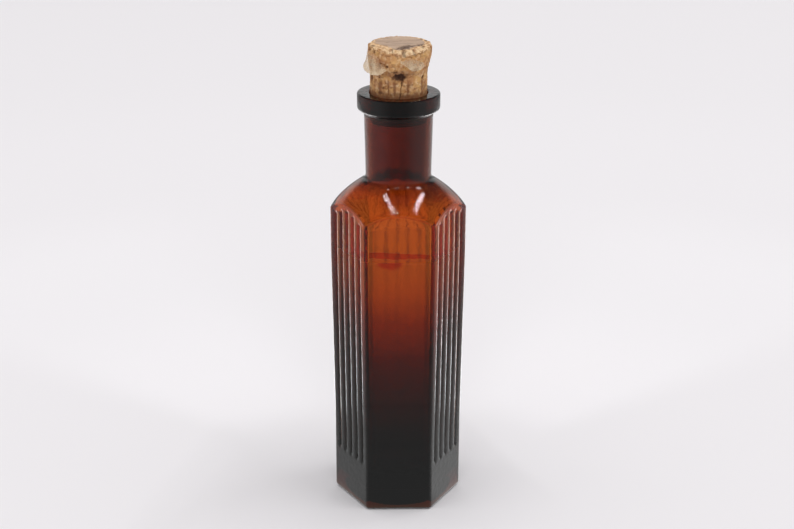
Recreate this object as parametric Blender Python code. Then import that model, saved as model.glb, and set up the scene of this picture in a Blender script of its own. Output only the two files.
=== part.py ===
"""A corked chemist's bottle: six-sided amber glass with ribbed panels and a domed shoulder.

Metres, +Z up. The origin is the centre of the foot, and the plain panel faces -Y.
"""

import math

import bmesh
import bpy
from mathutils import Vector

# Glass body: a hexagon of six panels, a little narrower below than at the shoulder
flats_at_shoulder = 0.0350
flats_at_foot = 0.0334
taper_start_height = 0.0220
taper_end_height = 0.0800
corner_rounding = 0.0013
foot_rounding = 0.0012
panel_wall = 0.0023
floor_thickness = 0.0052
inner_corner_rounding = 0.0042
floor_rounding = 0.0030
foot_corner_share = 0.15
foot_rim_width = 0.0033
push_up_depth = 0.0012

# Shoulder: a turned dome that cuts each panel's top to an arch, then flares into the neck
shoulder_height = 0.0912
dome_rise = 0.0087
dome_crown = 0.0006
shoulder_wall = 0.0024
neck_flare = 0.0010
neck_flare_rise = 0.0021

# Bore for the cork, with the neck and lip around it
mouth_radius = 0.0085
mouth_rounding = 0.0004
bore_taper = 0.0008
bore_foot_rise = 0.0010
bore_flare = 0.0026
neck_length = 0.0190
neck_foot_wall = 0.0019
neck_top_wall = 0.0015
lip_height = 0.0050
lip_overhang = 0.0020
lip_lower_rounding = 0.0010
lip_upper_rounding = 0.0005
lip_underside_rise = 0.0006
lip_fillet = 0.0008

# Ribs: half-round beads left standing between grooves
ribbed_panels = (1, 2, 3, 4, 5)
rib_pitch = 0.00335
rib_margin = 0.0012
rib_crest = 0.0005
groove_depth = 0.00065
groove_floor = 0.00022
groove_low_height = 0.0136
groove_top_margin = 0.0009
groove_run_out = 0.0016

# Cork: seated once down to its waist, now drawn part of the way out
cork_depth = 0.0085
cork_waist_height = 0.0052
cork_swell_height = 0.0060
cork_head_height = 0.0029
cork_swell = 0.0010
cork_rim_rounding = 0.0005
cork_end_rounding = 0.0006
cork_bite_depth = 0.0006
fit_gap = 0.0003

# Torn remains of the thin skin once tied over the cork
skin_thickness = 0.0003
skin_gap = 0.0003
skin_left_flare = 0.0005
skin_front_flare = 0.0001

# How finely round forms are divided
corner_steps = 4
turn_steps = 48
dome_steps = 5
fillet_steps = 3
overrun = 0.0020

# Worked out from the sizes above
half_panel_angle = math.radians(30)
apothem_at_shoulder = flats_at_shoulder / 2
apothem_at_foot = flats_at_foot / 2
corner_radius = apothem_at_shoulder / math.cos(half_panel_angle)
widest_radius = max(apothem_at_shoulder, apothem_at_foot) / math.cos(half_panel_angle)
narrowest_panel = 2 * min(apothem_at_shoulder, apothem_at_foot) * math.tan(half_panel_angle)
grooves_per_panel = math.floor((narrowest_panel - 2 * rib_margin) / rib_pitch)
push_up_radius = apothem_at_foot - foot_rounding - foot_rim_width
bore_foot_radius = mouth_radius - bore_taper
neck_foot_radius = bore_foot_radius + neck_foot_wall
neck_top_radius = mouth_radius + neck_top_wall
lip_radius = neck_top_radius + lip_overhang
shoulder_top_radius = neck_foot_radius + neck_flare
shoulder_top_height = shoulder_height + dome_rise
neck_foot_height = shoulder_top_height + neck_flare_rise
bore_foot_height = neck_foot_height + bore_foot_rise
lip_base_height = neck_foot_height + neck_length
bottle_height = lip_base_height + lip_height
cork_mouth_radius = mouth_radius - fit_gap
cork_head_radius = cork_mouth_radius + cork_swell
cork_stand = cork_waist_height + cork_swell_height + cork_head_height


def clear_scene():
    for thing in list(bpy.data.objects):
        bpy.data.objects.remove(thing, do_unlink=True)


def make_material(name, colour, roughness, transmission=0.0, ior=1.45):
    material = bpy.data.materials.new(name)
    material.use_nodes = True
    shader = material.node_tree.nodes["Principled BSDF"]
    shader.inputs["Base Color"].default_value = (*colour, 1.0)
    shader.inputs["Roughness"].default_value = roughness
    shader.inputs["Metallic"].default_value = 0.0
    shader.inputs["Transmission Weight"].default_value = transmission
    shader.inputs["IOR"].default_value = ior
    return material


def as_object(form, name):
    """The finished form as an object of the scene, its faces pointing out."""
    bmesh.ops.recalc_face_normals(form, faces=form.faces)
    mesh = bpy.data.meshes.new(name)
    form.to_mesh(mesh)
    form.free()
    body = bpy.data.objects.new(name, mesh)
    bpy.context.scene.collection.objects.link(body)
    return body


def loft(name, rings):
    """A closed solid through rings of equal count, lowest first, each counter-clockwise from above."""
    form = bmesh.new()
    rows = [[form.verts.new(point) for point in ring] for ring in rings]
    count = len(rings[0])
    for lower, upper in zip(rows, rows[1:]):
        for i in range(count):
            j = (i + 1) % count
            form.faces.new((lower[i], lower[j], upper[j], upper[i]))
    form.faces.new(list(reversed(rows[0])))
    form.faces.new(rows[-1])
    return as_object(form, name)


def turned(name, outline, steps=turn_steps):
    """A closed solid of revolution through an outline of (radius, height) points, lowest first."""
    rings = []
    for radius, height in outline:
        angles = [2 * math.pi * i / steps for i in range(steps)]
        rings.append([(radius * math.cos(a), radius * math.sin(a), height) for a in angles])
    return loft(name, rings)


def as_cutter(body):
    body.hide_render = True
    body.display_type = "WIRE"
    return body


def cut(body, name, tool, operation="DIFFERENCE"):
    modifier = body.modifiers.new(name, "BOOLEAN")
    modifier.operation = operation
    modifier.solver = "EXACT"
    modifier.object = tool


def smooth(body, degrees=35):
    body.data.shade_smooth()
    body.data.set_sharp_from_angle(angle=math.radians(degrees))


def rounded(start, corner, end, steps=fillet_steps):
    """Points along a fillet from start to end that is tangent to both lines through corner."""
    points = []
    for i in range(steps + 1):
        t = i / steps
        weights = ((1 - t) ** 2, 2 * t * (1 - t), t**2)
        points.append(tuple(sum(w * p[k] for w, p in zip(weights, (start, corner, end))) for k in (0, 1)))
    return points


def apothem_at(height):
    """Distance from the axis to a panel's outer face at a height."""
    rise = (height - taper_start_height) / (taper_end_height - taper_start_height)
    return apothem_at_foot + (apothem_at_shoulder - apothem_at_foot) * min(max(rise, 0), 1)


def hexagon_ring(apothem, rounding, height):
    """A hexagon with rounded corners whose flats face -Y and every 60 degrees from there."""
    ring = []
    for corner in range(6):
        middle = math.radians(-60 + 60 * corner)
        centre = (apothem - rounding) / math.cos(half_panel_angle)
        for step in range(corner_steps + 1):
            angle = middle + half_panel_angle * (2 * step / corner_steps - 1)
            x = centre * math.cos(middle) + rounding * math.cos(angle)
            y = centre * math.sin(middle) + rounding * math.sin(angle)
            ring.append((x, y, height))
    return ring


def panel_directions(panel):
    """Outward normal of a panel and the level direction along it; panel 0 is the plain one."""
    angle = math.radians(-90 + 60 * panel)
    return Vector((math.cos(angle), math.sin(angle), 0)), Vector((-math.sin(angle), math.cos(angle), 0))


def foot_rings(apothem, rounding, fillet, base):
    """Hexagon rings up a foot's fillet, whose corners sharpen towards the flat below."""
    rings = []
    for step in range(fillet_steps + 1):
        angle = math.pi / 2 * (1 - step / fillet_steps)
        inset_share = 1 - math.cos(angle)
        corner = rounding * (1 - (1 - foot_corner_share) * inset_share)
        height = base + fillet * (1 - math.sin(angle))
        rings.append(hexagon_ring(apothem - fillet * inset_share, corner, height))
    return rings


class Dome:
    """The shoulder's arc in the plane of radius and height, and arcs inside it for the cavity."""

    def __init__(self):
        low = Vector((corner_radius, shoulder_height))
        high = Vector((shoulder_top_radius, shoulder_top_height))
        chord = high - low
        self.radius = chord.length_squared / (8 * dome_crown) + dome_crown / 2
        outward = Vector((-chord.y, chord.x)).normalized()
        if outward.y < 0:
            outward.negate()
        self.centre = (low + high) / 2 - outward * (self.radius - dome_crown)

    def height_at(self, radius, inset=0.0):
        across = radius - self.centre.x
        return self.centre.y + math.sqrt((self.radius - inset) ** 2 - across**2)

    def slope_at(self, radius, inset=0.0):
        return -(radius - self.centre.x) / (self.height_at(radius, inset) - self.centre.y)

    def outline(self, inner, inset=0.0):
        """Points in to the inner radius, from a skirt outside the panels that is tangent to the arc."""
        outer = corner_radius - inset
        reach = widest_radius + overrun
        skirt_height = self.height_at(outer, inset) + self.slope_at(outer, inset) * (reach - outer)
        radii = [outer + (inner - outer) * i / dome_steps for i in range(dome_steps + 1)]
        skirt = [(reach, -overrun), (reach, skirt_height)]
        return skirt + [(radius, self.height_at(radius, inset)) for radius in radii]


dome = Dome()


# Outer glass

def build_blank():
    """The six-sided blank, rounded at its foot, tall enough to hold the neck and lip."""
    rings = foot_rings(apothem_at_foot, corner_rounding, foot_rounding, 0)
    for height in (taper_start_height, taper_end_height, bottle_height + overrun):
        rings.append(hexagon_ring(apothem_at(height), corner_rounding, height))
    return loft("bottle", rings)


def build_turned_top():
    """The dome, neck and lip as one turned form, wider than the hexagon below the shoulder."""
    outline = dome.outline(shoulder_top_radius)[:-1]

    # Hollow curve from the dome into the neck
    slope = dome.slope_at(shoulder_top_radius)
    corner_height = shoulder_top_height + slope * (neck_foot_radius - shoulder_top_radius)
    start = (shoulder_top_radius, shoulder_top_height)
    outline += rounded(start, (neck_foot_radius, corner_height), (neck_foot_radius, neck_foot_height))

    # Neck, then the lip's underside, rounded lower edge, side and flat top
    under = lip_base_height - lip_underside_rise
    outline += rounded(
        (neck_top_radius, under - lip_fillet),
        (neck_top_radius, under),
        (neck_top_radius + lip_fillet, under),
    )
    outline += rounded(
        (lip_radius - lip_lower_rounding, lip_base_height),
        (lip_radius, lip_base_height),
        (lip_radius, lip_base_height + lip_lower_rounding),
    )
    outline += rounded(
        (lip_radius, bottle_height - lip_upper_rounding),
        (lip_radius, bottle_height),
        (lip_radius - lip_upper_rounding, bottle_height),
    )
    return as_cutter(turned("turned_top", outline))


# Ribbed panels

def groove_section():
    """Half-round flanks of a groove, as (across, depth) points from its left edge to its right."""
    half = (rib_pitch - rib_crest) / 2
    flank = half - groove_floor / 2
    points = []
    for step in range(fillet_steps + 1):
        angle = math.pi / 2 * step / fillet_steps
        points.append((-half + flank * math.sin(angle), groove_depth * (1 - math.cos(angle))))
    return points + [(-across, depth) for across, depth in reversed(points)]


def groove_stations(middle):
    """(height, share of full size) up a groove: its run-outs, and the taper's bends between them."""
    reach = abs(middle) + rib_pitch / 2
    top = dome.height_at(math.hypot(apothem_at_shoulder, reach)) - groove_top_margin
    run_shares = ((0.0, 0.12), (0.25, 0.66), (1.0, 1.0))
    low_end = [(groove_low_height + groove_run_out * along, share) for along, share in run_shares]
    high_end = [(top - groove_run_out * along, share) for along, share in reversed(run_shares)]
    bends = [(bend, 1.0) for bend in (taper_start_height, taper_end_height)]
    return low_end + [bend for bend in bends if low_end[-1] < bend < high_end[0]] + high_end


def build_groove(name, panel, middle):
    """One groove's cutter, which follows the panel's taper and runs out at both ends."""
    outward, along = panel_directions(panel)
    rings = []
    for height, share in groove_stations(middle):
        section = groove_section()
        half = section[-1][0]
        cover = [(half, -overrun), (-half, -overrun)]
        ring = []
        for across, depth in section + cover:
            size = share if depth >= 0 else 1.0
            place = outward * (apothem_at(height) - depth * size) + along * (middle + across * share)
            ring.append((place.x, place.y, height))
        rings.append(ring)
    return loft(name, rings)


def build_grooves():
    """All the grooves' cutters in one object, since none touches another."""
    form = bmesh.new()
    for panel in ribbed_panels:
        for i in range(grooves_per_panel):
            middle = rib_pitch * (i - (grooves_per_panel - 1) / 2)
            groove = build_groove("groove", panel, middle)
            form.from_mesh(groove.data)
            bpy.data.objects.remove(groove, do_unlink=True)
    return as_cutter(as_object(form, "rib_grooves"))


# Inside of the glass

def build_chamber():
    """The cavity: a rounder hexagon inside the panels, under a dome, with the tapered bore above."""
    rings = foot_rings(apothem_at_foot - panel_wall, inner_corner_rounding, floor_rounding, floor_thickness)
    for height in (taper_start_height, taper_end_height, bottle_height + 2 * overrun):
        rings.append(hexagon_ring(apothem_at(height) - panel_wall, inner_corner_rounding, height))
    chamber = as_cutter(loft("chamber", rings))

    flare_radius = bore_foot_radius + bore_flare
    start = (flare_radius, dome.height_at(flare_radius, shoulder_wall))
    corner_height = start[1] - dome.slope_at(flare_radius, shoulder_wall) * bore_flare
    outline = dome.outline(flare_radius, shoulder_wall)[:-1]
    outline += rounded(start, (bore_foot_radius, corner_height), (bore_foot_radius, bore_foot_height))
    outline += rounded(
        (mouth_radius, bottle_height - mouth_rounding),
        (mouth_radius, bottle_height),
        (mouth_radius + mouth_rounding, bottle_height),
    )
    outline.append((mouth_radius + mouth_rounding, bottle_height + overrun))
    inner_top = as_cutter(turned("chamber_top", outline))
    cut(chamber, "under the dome", inner_top, "INTERSECT")
    return chamber


def build_push_up():
    """The shallow hollow under the foot."""
    outline = [(push_up_radius, -overrun)]
    for step in range(fillet_steps + 1):
        angle = math.pi / 2 * step / (fillet_steps + 1)
        outline.append((push_up_radius * math.cos(angle), push_up_depth * math.sin(angle)))
    return as_cutter(turned("push_up", outline))


def build_bottle():
    bottle = build_blank()
    cut(bottle, "dome, neck and lip", build_turned_top(), "INTERSECT")
    cut(bottle, "grooves between the ribs", build_grooves())
    cut(bottle, "chamber and bore", build_chamber())
    cut(bottle, "hollow of the foot", build_push_up())
    smooth(bottle)
    bottle.data.materials.append(make_material("amber_glass", (0.26, 0.05, 0.008), 0.03, 1.0, 1.52))
    return bottle


# Cork

def bore_radius_at(height):
    rise = (height - bore_foot_height) / (bottle_height - mouth_rounding - bore_foot_height)
    return bore_foot_radius + (mouth_radius - bore_foot_radius) * rise


def cork_outline():
    end = bottle_height - cork_depth
    top = bottle_height + cork_stand
    waist = bottle_height + cork_waist_height
    end_radius = bore_radius_at(end) - fit_gap
    outline = [(end_radius - cork_end_rounding, end), (end_radius, end + cork_end_rounding)]
    outline.append((cork_mouth_radius, bottle_height))
    # From the waist, where the lip once gripped it, the cork swells to its free size
    for step in range(2 * fillet_steps + 1):
        share = step / (2 * fillet_steps)
        ease_share = share * share * (3 - 2 * share)
        outline.append((cork_mouth_radius + cork_swell * ease_share, waist + cork_swell_height * share))
    outline += rounded(
        (cork_head_radius, top - cork_rim_rounding),
        (cork_head_radius, top),
        (cork_head_radius - cork_rim_rounding, top),
    )
    return outline


def cork_radius_at(height):
    outline = cork_outline()
    for (low_radius, low), (high_radius, high) in zip(outline, outline[1:]):
        if low <= height <= high and high > low:
            return low_radius + (high_radius - low_radius) * (height - low) / (high - low)
    return cork_head_radius


def build_hollow(name, angle, height, depth, width_share, tall_share):
    """A pebble-shaped cutter, sunk by its depth into the cork's side; shares are of the head's radius."""
    form = bmesh.new()
    bmesh.ops.create_icosphere(form, subdivisions=1, radius=1.0)
    wide = cork_head_radius * width_share
    tall = cork_head_radius * tall_share
    reach = cork_radius_at(height)
    across = Vector((-math.sin(angle), math.cos(angle), 0))
    outward = Vector((math.cos(angle), math.sin(angle), 0))
    for vert in form.verts:
        x, y, z = vert.co
        place = outward * (reach + depth * (2 * x + 1)) + across * (wide * y)
        vert.co = place + Vector((0, 0, height + tall * z))
    return as_cutter(as_object(form, name))


def build_cork():
    cork = turned("cork", cork_outline())
    # Pores of the bark under the swell, and bites out of the crumbling rim: name, angle in degrees,
    # and shares of the cork's stand, of the bite depth, and twice of the head's radius
    hollow_shares = (
        ("front_pore", -84, 0.39, 1.0, 0.09, 0.040),
        ("left_pore", -172, 0.38, 0.8, 0.06, 0.050),
        ("right_pore", -33, 0.38, 0.8, 0.05, 0.035),
        ("front_left_bite", -118, 0.97, 1.2, 0.16, 0.060),
        ("front_bite", -88, 0.95, 1.5, 0.20, 0.075),
        ("rear_bite", 64, 0.98, 1.1, 0.18, 0.050),
    )
    for name, degrees, stand_share, depth_share, width_share, tall_share in hollow_shares:
        height = bottle_height + cork_stand * stand_share
        depth = cork_bite_depth * depth_share
        cut(cork, name, build_hollow(name, math.radians(degrees), height, depth, width_share, tall_share))
    smooth(cork)
    cork.data.materials.append(make_material("cork_bark", (0.52, 0.32, 0.15), 0.85))
    return cork


# Torn skin on the cork

def build_skin(name, start_degrees, end_degrees, low_shares, high_shares, flare):
    """A curved scrap whose torn edges follow shares of the cork's stand, flaring off the cork below."""
    form = bmesh.new()
    columns = len(low_shares)
    rows = 4
    grid = {}
    for i in range(columns):
        angle = math.radians(start_degrees + (end_degrees - start_degrees) * i / (columns - 1))
        low = bottle_height + cork_stand * low_shares[i]
        high = bottle_height + cork_stand * high_shares[i]
        for j in range(rows):
            down = 1 - j / (rows - 1)
            height = low + (high - low) * (1 - down)
            inner = cork_radius_at(high) + skin_gap + flare * down**2
            for side, radius in enumerate((inner, inner + skin_thickness)):
                place = (radius * math.cos(angle), radius * math.sin(angle), height)
                grid[i, j, side] = form.verts.new(place)
    for i in range(columns - 1):
        for j in range(rows - 1):
            corners = ((i, j), (i + 1, j), (i + 1, j + 1), (i, j + 1))
            form.faces.new([grid[a, b, 1] for a, b in corners])
            form.faces.new([grid[a, b, 0] for a, b in reversed(corners)])
    border = [(i, 0) for i in range(columns)] + [(columns - 1, j) for j in range(1, rows)]
    border += [(i, rows - 1) for i in range(columns - 2, -1, -1)] + [(0, j) for j in range(rows - 2, 0, -1)]
    for here, there in zip(border, border[1:] + border[:1]):
        form.faces.new([grid[(*p, s)] for p, s in ((here, 0), (there, 0), (there, 1), (here, 1))])
    scrap = as_object(form, name)
    smooth(scrap)
    scrap.data.materials.append(make_material("dried_skin", (0.74, 0.68, 0.58), 0.45))
    return scrap


def build():
    clear_scene()
    build_bottle()

    # The cork and what clings to it hang from one empty, on the axis it is drawn along
    stopper = bpy.data.objects.new("stopper", None)
    bpy.context.scene.collection.objects.link(stopper)
    pieces = [
        build_cork(),
        build_skin(
            "skin_left",
            168,
            258,
            (0.52, 0.46, 0.44, 0.45, 0.43, 0.47, 0.56),
            (0.70, 0.78, 0.82, 0.80, 0.76, 0.68, 0.62),
            skin_left_flare,
        ),
        build_skin(
            "skin_front",
            276,
            322,
            (0.58, 0.52, 0.50, 0.55, 0.60),
            (0.64, 0.70, 0.73, 0.72, 0.68),
            skin_front_flare,
        ),
    ]
    for piece in pieces:
        piece.parent = stopper


build()
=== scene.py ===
import math
import random

import bmesh
import bpy
from mathutils import Matrix, Vector, noise


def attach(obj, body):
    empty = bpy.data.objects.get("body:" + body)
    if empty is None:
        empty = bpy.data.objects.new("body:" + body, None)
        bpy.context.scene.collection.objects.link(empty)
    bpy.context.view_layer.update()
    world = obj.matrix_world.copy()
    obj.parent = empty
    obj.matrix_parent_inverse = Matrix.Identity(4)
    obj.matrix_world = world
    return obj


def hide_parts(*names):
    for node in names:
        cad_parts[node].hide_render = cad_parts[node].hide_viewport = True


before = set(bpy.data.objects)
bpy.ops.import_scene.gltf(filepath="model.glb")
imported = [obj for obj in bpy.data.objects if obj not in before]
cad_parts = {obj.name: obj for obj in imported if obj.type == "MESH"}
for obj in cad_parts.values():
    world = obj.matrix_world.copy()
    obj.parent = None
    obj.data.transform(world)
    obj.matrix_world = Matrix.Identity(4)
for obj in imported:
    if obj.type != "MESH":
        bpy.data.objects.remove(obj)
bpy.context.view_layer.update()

link = bpy.context.scene.collection.objects.link


# Camera
# Placed by fitting the outlines of the lip, neck, panels and foot to the photograph: about half
# a metre off, looking 20 degrees down at the plain panel, which is turned a little to one side.
camera_data = bpy.data.cameras.new("camera")
camera_data.sensor_width = 36.0
camera_data.sensor_fit = "HORIZONTAL"
camera_data.lens = 73.532
camera_data.clip_start = 0.01
camera = bpy.data.objects.new("camera", camera_data)
link(camera)
camera.matrix_world = (
    Matrix.Rotation(math.radians(-1.393), 4, "Z")
    @ Matrix.Translation((-0.000338, -0.453954, 0.239204))
    @ Matrix.Rotation(math.radians(90 - 20.086), 4, "X")
    @ Matrix.Rotation(math.radians(0.158), 4, "Z")
)
bpy.context.scene.camera = camera
bpy.context.scene.view_settings.view_transform = "Standard"


# Table and light
# The bottle stands on a pale matt table in a light tent. Two long lamps hang overhead and draw
# the pair of streaks on the shoulder.
def set_values(node, values):
    """Plain values on a node's own sockets."""
    for name, value in values.items():
        node.inputs[name].default_value = value


def new_material(name, values):
    """A material, its nodes and its shader, with plain values on the shader's own sockets."""
    material = bpy.data.materials.new(name)
    material.use_nodes = True
    shader = material.node_tree.nodes["Principled BSDF"]
    set_values(shader, values)
    return material, material.node_tree, shader


def object_of(name, form, material):
    """An object at the origin made of a form, which is used up."""
    mesh = bpy.data.meshes.new(name)
    form.to_mesh(mesh)
    form.free()
    mesh.materials.append(material)
    piece = bpy.data.objects.new(name, mesh)
    link(piece)
    return piece


table_paint, tree, shader = new_material(
    "table_paint", {"Base Color": (0.865, 0.85, 0.87, 1), "Roughness": 0.9, "Specular IOR Level": 0.2}
)
table_reach, table_height = 8.0, -0.00005
table_corners = [(-1, -1), (1, -1), (1, 1), (-1, 1)]
form = bmesh.new()
corners = [(x * table_reach, y * table_reach, table_height) for x, y in table_corners]
form.faces.new([form.verts.new(corner) for corner in corners])
sheet = object_of("table", form, table_paint)


class Wire:
    """One value in a node tree. Arithmetic on it adds the Math nodes that work it out."""

    def __init__(self, socket):
        self.tree, self.socket = socket.id_data, socket

    def into(self, place):
        self.tree.links.new(self.socket, place)

    def through(self, operation, *values, clamp=False):
        node = self.tree.nodes.new("ShaderNodeMath")
        node.operation = operation
        node.use_clamp = clamp
        for place, value in zip(node.inputs, (self, *values)):
            if isinstance(value, Wire):
                value.into(place)
            else:
                place.default_value = value
        return Wire(node.outputs[0])

    def __add__(self, other):
        return self.through("ADD", other)

    __radd__ = __add__

    def __sub__(self, other):
        return self.through("SUBTRACT", other)

    def __rsub__(self, other):
        return self.through("MULTIPLY", -1).through("ADD", other)

    def __mul__(self, other):
        return self.through("MULTIPLY", other)

    __rmul__ = __mul__

    def __truediv__(self, other):
        return self.through("DIVIDE", other)

    def root(self):
        return self.through("MAXIMUM", 0.0).through("SQRT")

    def size(self):
        return self.through("ABSOLUTE")

    def clamped(self):
        return self.through("ADD", 0.0, clamp=True)

    def ramped(self, low, high):
        """0 below low, 1 above high and an even rise between them."""
        return ((self - low) / (high - low)).clamped()

    def eased(self, low, high):
        """0 below low, 1 above high and a smooth rise between them."""
        node = self.tree.nodes.new("ShaderNodeMapRange")
        node.interpolation_type = "SMOOTHSTEP"
        self.into(node.inputs["Value"])
        set_values(node, {"From Min": low, "From Max": high})
        return Wire(node.outputs[0])

    def towards(self, other, share):
        """This value where share is 0, the other where it is 1."""
        return self + (other - self) * share


def distance(a, b):
    return (a * a + b * b).root()


def object_axes(tree):
    """The node that gives the surface's object coordinates, and the three of them in metres."""
    coordinates = tree.nodes.new("ShaderNodeTexCoord")
    split = tree.nodes.new("ShaderNodeSeparateXYZ")
    tree.links.new(coordinates.outputs["Object"], split.inputs[0])
    return coordinates, [Wire(split.outputs[i]) for i in range(3)]


# What the glass reflects: a room that is bright behind the bottle, dimmer beside it, and dark in
# front of it and overhead. Only reflected rays meet it, so it casts no light.
room_paint, tree, shader = new_material("room_paint", {})
room_glow = tree.nodes.new("ShaderNodeEmission")
tree.links.new(room_glow.outputs[0], tree.nodes["Material Output"].inputs["Surface"])
coordinates, (x, y, z) = object_axes(tree)
away = distance(x, y)
turn = x.through("ARCTAN2", y * -1).size()


def by_turn(low, high):
    """The share of a glow between two turns away from the front, in degrees."""
    return turn.eased(math.radians(low), math.radians(high))


near = 1 - away.eased(0.03, 0.20)
front_glow = near * 0.17 + 0.26
side_glow = near * 0.12 + 0.50 + near * x.eased(0.0, 0.02) * 0.30
far_floor = away.eased(0.40, 0.55) * (1 - z.eased(0.001, 0.010))
patches = away.eased(0.050, 0.075) * (1 - away.eased(0.24, 0.33)) * (4.0 - away.eased(0.09, 0.20) * 2.5)
back_glow = patches * (1 - by_turn(150, 170)) + 0.72 - far_floor * 0.42
overhead = z.through("ARCTAN2", away).eased(math.radians(14), math.radians(25))
glow = front_glow.towards(side_glow, by_turn(15, 65)).towards(back_glow, by_turn(121, 132))
glow.towards(turn * 0 + 0.12, overhead).into(room_glow.inputs["Strength"])

room_radius, room_floor = 5.0, 0.0002
form = bmesh.new()
bmesh.ops.create_uvsphere(form, u_segments=64, v_segments=32, radius=room_radius)
for vert in form.verts:
    vert.co.z = max(vert.co.z, room_floor)
room = object_of("room", form, room_paint)
for ray in ("camera", "diffuse", "transmission", "volume_scatter", "shadow"):
    setattr(room, "visible_" + ray, False)

# Each lamp's ends are given as seen at a height of one metre, and then its brightness
lamp_height, lamp_width = 3.4, 0.012
for name, start, end, lamp_glow in (
    ("lamp_left", (-0.060, -0.43), (-0.29, 0.115), 45.0),
    ("lamp_right", (0.34, -0.34), (0.55, 0.33), 60.0),
):
    start, end = (Vector((x, y, 1)) * lamp_height for x, y in (start, end))
    along = (end - start).normalized()
    lamp_data = bpy.data.lights.new(name, "AREA")
    lamp_data.shape = "RECTANGLE"
    lamp_data.size = (end - start).length
    lamp_data.size_y = lamp_width * lamp_height
    lamp_data.energy = 4 * lamp_data.size * lamp_data.size_y * lamp_glow
    lamp = bpy.data.objects.new(name, lamp_data)
    link(lamp)
    down = -((start + end) / 2).normalized()
    across = (-down).cross(along).normalized()
    facing = Matrix((along, across, along.cross(across))).transposed().to_4x4()
    lamp.matrix_world = Matrix.Translation((start + end) / 2) @ facing

# The tent glows evenly, and looks a little brighter to the camera, through glass and in it
world = bpy.data.worlds.new("tent")
bpy.context.scene.world = world
world.use_nodes = True
sky = world.node_tree
sky.nodes.clear()
sky_out = sky.nodes.new("ShaderNodeOutputWorld")
sky_mix = sky.nodes.new("ShaderNodeMixShader")
sky_rays = sky.nodes.new("ShaderNodeLightPath")
sky_share = Wire(sky_rays.outputs["Is Camera Ray"])
for ray in ("Is Transmission Ray", "Is Glossy Ray"):
    sky_share = sky_share.through("MAXIMUM", Wire(sky_rays.outputs[ray]))
sky_share.into(sky_mix.inputs[0])
for place, colour, strength in ((1, (1.0, 0.985, 0.99, 1), 0.74), (2, (0.84, 0.825, 0.845, 1), 1.0)):
    glowing = sky.nodes.new("ShaderNodeBackground")
    set_values(glowing, {"Color": colour, "Strength": strength})
    sky.links.new(glowing.outputs[0], sky_mix.inputs[place])
sky.links.new(sky_mix.outputs[0], sky_out.inputs["Surface"])


# Glass bottle
# One thick pressing of dark amber glass with a shallow hollow under its foot, a plain panel in
# front and five ribbed ones. The domed shoulder cuts the panels' tops to arches, and the neck
# carries a flat ring lip. Both faces of the wall are slightly wavy, the inner one more so.
apothem_at_foot = 0.0167
apothem_at_shoulder = 0.0175
taper_start_height, taper_end_height = 0.0220, 0.0800
corner_rounding, foot_rounding, foot_corner_share = 0.0013, 0.0012, 0.15
panel_wall, floor_thickness = 0.0023, 0.0052
inner_corner_rounding, floor_rounding = 0.0024, 0.0030
push_up_radius, push_up_depth, push_up_edge = 0.0122, 0.0012, 0.0003
shoulder_wall = 0.0024
shoulder_top_radius, shoulder_top_height = 0.0106, 0.0999
neck_foot_radius, neck_foot_height, neck_top_radius = 0.0096, 0.1020, 0.0100
bore_foot_radius, bore_foot_height, bore_flare = 0.0077, 0.1030, 0.0026
mouth_radius, mouth_rounding = 0.0085, 0.0004
lip_radius, lip_base_height, bottle_height = 0.0120, 0.1210, 0.1260
lip_lower_rounding, lip_upper_rounding = 0.0010, 0.0005
lip_underside_rise, lip_fillet = 0.0006, 0.0005
rib_pitch, rib_crest, groove_depth = 0.00335, 0.0005, 0.00065
groove_low_height, groove_low_run = 0.0136, 0.0016
groove_top_margin, groove_top_run = 0.0006, 0.0014
arch_rounding, inner_arch_rounding = 0.0005, 0.0020
outer_wave, inner_wave, inner_dome_wave = 0.00002, 0.00012, 0.00040
# From this height up the rows bend gradually to follow the arches
lift_start_height = 0.0780

# The dome's arc, in the plane of radius and height
dome_foot = Vector((apothem_at_shoulder / math.cos(math.radians(30)), 0.0912))
dome_head = Vector((shoulder_top_radius, shoulder_top_height))
dome_chord = dome_head - dome_foot
dome_crown = 0.0006
dome_radius = dome_chord.length_squared / (8 * dome_crown) + dome_crown / 2
dome_outward = Vector((-dome_chord.y, dome_chord.x)).normalized()
dome_outward *= 1 if dome_outward.y > 0 else -1
dome_centre = (dome_foot + dome_head) / 2 - dome_outward * (dome_radius - dome_crown)


def dome_height_at(radius, inset=0.0):
    return dome_centre.y + math.sqrt((dome_radius - inset) ** 2 - (radius - dome_centre.x) ** 2)


def dome_slope_at(radius, inset=0.0):
    return -(radius - dome_centre.x) / (dome_height_at(radius, inset) - dome_centre.y)


def rounded(start, corner, end, steps=5):
    """Points along a fillet from start to end that is tangent to both lines through corner."""
    points = []
    for i in range(steps + 1):
        t = i / steps
        weights = ((1 - t) ** 2, 2 * t * (1 - t), t * t)
        weighted = list(zip(weights, (start, corner, end)))
        points.append(tuple(sum(weight * point[k] for weight, point in weighted) for k in (0, 1)))
    return points


def apothem_at(height):
    rise = (height - taper_start_height) / (taper_end_height - taper_start_height)
    return apothem_at_foot + (apothem_at_shoulder - apothem_at_foot) * min(max(rise, 0), 1)


# An outline is a list of rows, each placed on the turned form, on the panels or on the dome
row_keys = ("height", "radius", "apothem", "corner", "wall", "inset", "lift", "drop", "past",
            "share", "flare", "turned", "round", "rib", "wave", "inside")


def turned_row(radius, height, wave=0.0):
    return dict(radius=radius, height=height, turned=1, round=1, wave=wave, apothem=radius)


def panel_row(height, inwards=0.0, corner=corner_rounding, wall=0.0, **others):
    apothem = max(apothem_at(height) - wall - inwards, 0)
    return dict(height=height, apothem=apothem, corner=corner, wall=wall, **others)


def dome_row(share, flare, corner=corner_rounding, inset=0.0, **others):
    height = dome_height_at(flare, inset)
    return dict(share=share, flare=flare, corner=corner, inset=inset, round=1,
                apothem=apothem_at_shoulder, height=height, **others)


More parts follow.
